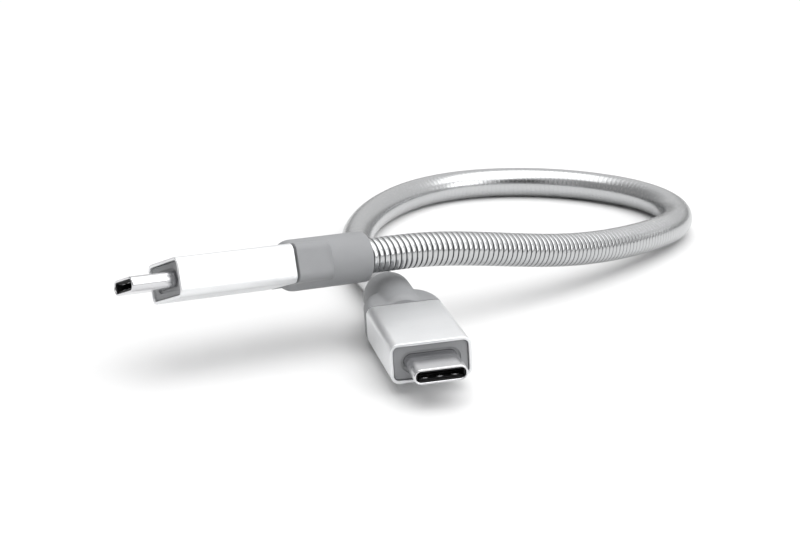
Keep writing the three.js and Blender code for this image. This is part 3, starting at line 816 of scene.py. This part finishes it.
def hose_mesh(name, start, turns):
    """A length of hose, from a start in metres along the line and for a number of turns."""
    columns = np.arange(SIDES)
    angle = columns * 2 * math.pi / SIDES
    base = start + (np.arange(turns + 2)[:, None] + columns[None] / SIDES) * PITCH * MM
    angle = np.broadcast_to(angle, base.shape)
    opened = openness(base, angle)
    width = SHUT_WIDTH + (GROOVE_WIDTH - SHUT_WIDTH) * opened
    depth = SHUT_DEPTH + (TURN_DEPTH - SHUT_DEPTH) * opened
    crown = CROWN * (SHUT_CROWN + (1 - SHUT_CROWN) * opened)
    rest, none = 1 - width, np.zeros_like(width)
    # each row's place in the turn, how far it drops below the hose's radius, and how dark it is
    profile = [(none, depth, 1.0), (width, depth, 1.0), (width + WALL, depth * 0.4, 0.8),
               (width + EDGE_ROLL, crown, 0.1), (width + 0.25 * rest, crown * 0.25, 0.0),
               (width + 0.5 * rest, none, 0.0), (width + 0.75 * rest, crown * 0.25, 0.0),
               (none + 1 - EDGE_ROLL, crown, 0.1), (none + 1 - WALL, depth * 0.4, 0.8)]
    rows, shade, where = [], [], []
    for share, drop, dark in profile:
        place = base + share * PITCH * MM
        rows.append(round_line(place, angle, HOSE_RADIUS * MM - drop * MM))
        shade.append(dark * (SHUT_SHADE + (1 - SHUT_SHADE) * opened))
        where.append(place)
    grid = np.stack(rows, 1).reshape(-1, SIDES, 3)
    gap = np.stack(shade, 1).reshape(-1, SIDES)
    along = np.stack(where, 1).reshape(-1, SIDES)
    return build_tube(name, grid, gap, along, len(profile), turns * len(profile) + 1)


print(f"{SIDES} columns round the hose, a turn every {PITCH} mm")

# %% [markdown]
# A grid of points becomes one mesh, whose last column joins the first a turn further on. The "gap"
# attribute carries the darkness of each row, and the "strip" map runs along the winding in millimetres.


# %% Tube from rows
def build_tube(name, grid, gap, along, shift, count):
    """A tube from rows of points; the last column joins the first, shift rows further on."""
    index = np.arange(len(grid) * SIDES).reshape(-1, SIDES)
    row = np.arange(count - 1)
    faces = []
    for column in range(SIDES):
        after = (column + 1) % SIDES
        step = shift if after == 0 else 0
        faces.append(np.stack([index[row, column], index[row + step, after],
                               index[row + step + 1, after], index[row + 1, column]], 1))
    used, faces = np.unique(np.concatenate(faces), return_inverse=True)
    faces = faces.reshape(-1, 4)
    mesh = bpy.data.meshes.new(name)
    mesh.from_pydata(grid.reshape(-1, 3)[used].tolist(), [], faces.tolist())
    mesh.update()
    attribute = mesh.attributes.new("gap", "FLOAT", "POINT")
    attribute.data.foreach_set("value", gap.ravel()[used].astype("f"))
    corner = faces.ravel()
    turn = (used % SIDES)[corner].reshape(-1, 4)
    turn = np.where((turn == 0) & (turn.max(1)[:, None] == SIDES - 1), SIDES, turn).ravel()
    uv = np.stack([turn / SIDES * 2 * math.pi * HOSE_RADIUS, along.ravel()[used][corner] / MM], 1)
    strip = mesh.uv_layers.new(name="strip")
    strip.data.foreach_set("uv", uv.astype("f").ravel())
    tube = bpy.data.objects.new(name, mesh)
    bpy.context.scene.collection.objects.link(tube)
    mesh.shade_smooth()
    return tube


print("a turn of the strip is", round(2 * math.pi * HOSE_RADIUS, 1), "mm long")

# %% [markdown]
# The hose is made in two lengths that meet in the middle of the loop, end to end.

# %% Hose lengths
HOSE_START = (WIRE_DEPTH - HOSE_DEPTH) * MM
TURNS = int((TOTAL - 2 * HOSE_START) / (PITCH * MM)) - 1
TURNS_A = TURNS // 2
HALF = HOSE_START + TURNS_A * PITCH * MM
LENGTHS = {"a": (HOSE_START, TURNS_A), "b": (HALF, TURNS - TURNS_A)}


def bend_with_plug(piece):
    """Bakes the piece's transform into its mesh."""
    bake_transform(piece)


for key, (start, turns) in LENGTHS.items():
    end = start + turns * PITCH * MM
    hose = hose_mesh(f"armoured_hose_{key}", start, turns)
    hose.data.materials.append(FINISHES["hose_steel"])
    bend_with_plug(hose)
    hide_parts("armoured_hose")
    print(hose.name, "faces:", len(hose.data.polygons), f"length {(end - start) / MM:.1f} mm")

# %% [markdown]
# ## Inside the hose
# A jacket, a braid and five wires run all the way through. They are plain tubes, because no open end
# shows them, and they are split like the hose.


# %% Jacket, braid and wires
def plain_cord(name, start, end, radius, offset, turn, sides=12, spacing=2 * MM):
    """A round cord beside the line, at an offset in millimetres and a turn round it."""
    places = np.linspace(start, end, int((end - start) / spacing))
    angle = np.arange(sides) * 2 * math.pi / sides
    centre = at(line, places) + offset * MM * (
        math.cos(turn) * at(normal, places) + math.sin(turn) * at(binormal, places))
    n, b = at(normal, places)[:, None], at(binormal, places)[:, None]
    ring = np.cos(angle)[None, :, None] * n + np.sin(angle)[None, :, None] * b
    points = (centre[:, None] + radius * MM * ring).reshape(-1, 3)
    index = np.arange(len(points)).reshape(-1, sides)
    after = np.roll(index, -1, axis=1)
    sides_of = np.stack([index[:-1], after[:-1], after[1:], index[1:]], -1).reshape(-1, 4).tolist()
    ends = [index[0][::-1].tolist(), index[-1].tolist()]
    mesh = bpy.data.meshes.new(name)
    mesh.from_pydata(points.tolist(), [], sides_of + ends)
    mesh.update()
    cord = bpy.data.objects.new(name, mesh)
    bpy.context.scene.collection.objects.link(cord)
    smooth(cord, 50)
    return cord


JACKET_RADIUS, BRAID_RADIUS, WIRE_RADIUS = 1.5, 1.17, 0.3
WIRE_CIRCLE = 0.62  # the wires' distance from the middle
INSIDE = [("cable_jacket", JACKET_RADIUS, JACKET_DEPTH, "jacket_black", 0, 0),
          ("shield_braid", BRAID_RADIUS, BRAID_DEPTH, "braid_tinned", 0, 0)]
WIRE_SLOTS = {"power": "wire_red", "data_plus": "wire_green", "data_minus": "wire_white",
              "control": "wire_blue", "ground": "wire_black"}
for i, (wire, slot) in enumerate(WIRE_SLOTS.items()):
    turn = i / len(WIRE_SLOTS) * 2 * math.pi
    INSIDE.append((f"wire_{wire}", WIRE_RADIUS, WIRE_DEPTH, slot, WIRE_CIRCLE, turn))

for name, radius, depth, slot, offset, turn in INSIDE:
    for key in PLACES:
        tucked = (WIRE_DEPTH - depth) * MM
        start, end = (tucked, HALF) if key == "a" else (HALF, TOTAL - tucked)
        inner = plain_cord(f"{name}_{key}", start, end, radius, offset, turn)
        inner.data.materials.append(FINISHES[slot])
        bend_with_plug(inner)
        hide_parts(name)
print("lengths inside the hose:", len(INSIDE) * len(PLACES))

# %% [markdown]
# ## Floor and light
# The cable lies on a plain pale board, painted matt so that it shows a soft shadow and no reflection.

# %% Floor
bpy.ops.object.select_all(action="DESELECT")
bpy.ops.mesh.primitive_plane_add(size=6)
floor = bpy.context.object
floor.name = "floor"
floor.data.materials.append(mottled("painted board", "#e9e9e9", "#e7e7e7", 0.0, 0.75, 2.0, 0.01))
print("floor:", floor.name)

# %% [markdown]
# A large soft light hangs overhead. A second, smaller one stands on the right in front, and lights the
# plugs' front ends. Both face the cable. They are rectangles, because a softbox is one, and a polished
# tube shows the shape of its light.


# %% Lights
def area_light(name, place, size, power):
    data = bpy.data.lights.new(name, "AREA")
    data.shape = "RECTANGLE"
    data.size, data.size_y = size
    data.energy = power
    light = bpy.data.objects.new(name, data)
    light.location = place
    light.rotation_mode = "QUATERNION"
    light.rotation_quaternion = (-light.location).to_track_quat("-Z", "Y")
    bpy.context.scene.collection.objects.link(light)
    return light


# where it is, its width and height in metres, and its power in watts
lights = [area_light("overhead", (0.15, -0.1, 1.1), (1.5, 1.7), 14),
          area_light("right front", (0.95, -0.68, 0.5), (0.7, 0.6), 3)]
print("lights:", [light.name for light in lights])

# %% [markdown]
# All round stands a white tent. Its wall is darker near the floor, at its front opening and at a grey
# flag on the left, because polished metal only shows its shape by dark lines among the bright ones. One
# function makes the tent darker towards any direction.


# %% Tent
TENT_STRENGTH = 0.85
WALL_FOOT, WALL_TOP = (0.04, "#6c6c6c"), (0.2, "#ffffff")  # the height and the tone there
# The way to each dark part, how directly one must face it for the dark to begin and to be full, and the
# share of light left there.
FRONT_OPENING = (Vector((0.05, -0.93, 0.35)).normalized(), 0.92, 0.975, 0.06)
LEFT_FLAG = (Vector((-0.97, -0.1, 0.2)).normalized(), 0.1, 0.8, 0.45)

tent = bpy.data.worlds.new("tent")
bpy.context.scene.world = tent
tent.use_nodes = True
tree = tent.node_tree
background = tree.nodes["Background"]
background.inputs["Strength"].default_value = TENT_STRENGTH
direction = add_node(tree, "ShaderNodeTexCoord").outputs["Generated"]
height = add_node(tree, "ShaderNodeSeparateXYZ", {"Vector": direction}).outputs["Z"]
wall = add_node(tree, "ShaderNodeValToRGB", {"Fac": height})
for stop, (position, tone) in zip(wall.color_ramp.elements, (WALL_FOOT, WALL_TOP)):
    stop.position = position
    stop.color = colour(tone)


def darker_towards(way, begins, full, least):
    """A factor that falls from 1 to least as the direction nears the given way."""
    facing = add_node(tree, "ShaderNodeVectorMath", {0: direction, 1: way},
                      operation="DOT_PRODUCT").outputs["Value"]
    return add_node(tree, "ShaderNodeMapRange", {
        "Value": facing, "From Min": begins, "From Max": full,
        "To Min": 1.0, "To Max": least}).outputs["Result"]


shade = add_node(tree, "ShaderNodeMath", {
    0: darker_towards(*FRONT_OPENING),
    1: darker_towards(*LEFT_FLAG)}, operation="MULTIPLY").outputs["Value"]
seen = add_node(tree, "ShaderNodeVectorMath", {0: wall.outputs["Color"], "Scale": shade},
                operation="SCALE")
tree.links.new(seen.outputs["Vector"], background.inputs["Color"])
bpy.context.scene.view_settings.view_transform = "Standard"
print("nodes in the tent:", len(tree.nodes))
